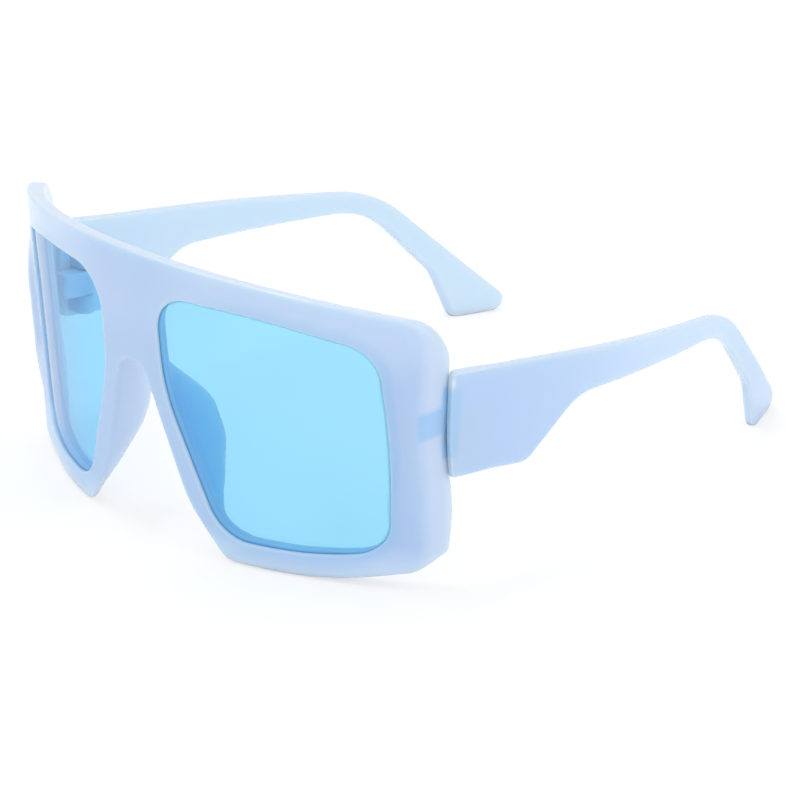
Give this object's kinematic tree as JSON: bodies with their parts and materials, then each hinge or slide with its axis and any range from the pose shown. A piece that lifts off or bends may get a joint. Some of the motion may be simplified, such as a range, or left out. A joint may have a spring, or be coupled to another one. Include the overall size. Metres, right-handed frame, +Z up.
{
  "type": "sunglasses",
  "caption": "Oversized wrap sunglasses: flat-browed translucent front with moulded nose pads, two curved tinted lenses and two folding hooked temples.",
  "frame": {"origin": "middle of the bounding box's base, on the floor that the lower rim and the temple tips rest on", "axes": "+X to the wearer's left, which is the viewer's right seen from the front; +Y back along the open temples; +Z up from the floor"},
  "size_m": [0.1458, 0.1754, 0.0749],
  "materials": {
    "frame_plastic": "milky translucent moulded plastic, satin gloss",
    "lens_tint": "clear sky-blue tint, polished",
    "screw_steel": "turned steel"
  },
  "bodies": {
    "front": {"front_frame": "frame_plastic", "left_lens": "lens_tint", "right_lens": "lens_tint"},
    "left_temple": {"left_temple": "frame_plastic", "left_hinge_screw": "screw_steel"},
    "right_temple": {"right_temple": "frame_plastic", "right_hinge_screw": "screw_steel"}
  },
  "joints": [
    {"name": "left_temple_fold", "type": "hinge", "parent": "front", "child": "left_temple", "pos_m": [0.0666, -0.04451, 0.03748], "axis": [0, 0.0872, 0.9962], "range_deg": [0, 82]},
    {"name": "right_temple_fold", "type": "hinge", "parent": "front", "child": "right_temple", "pos_m": [-0.0666, -0.04451, 0.03748], "axis": [0, -0.0872, -0.9962], "range_deg": [0, 70]}
  ]
}
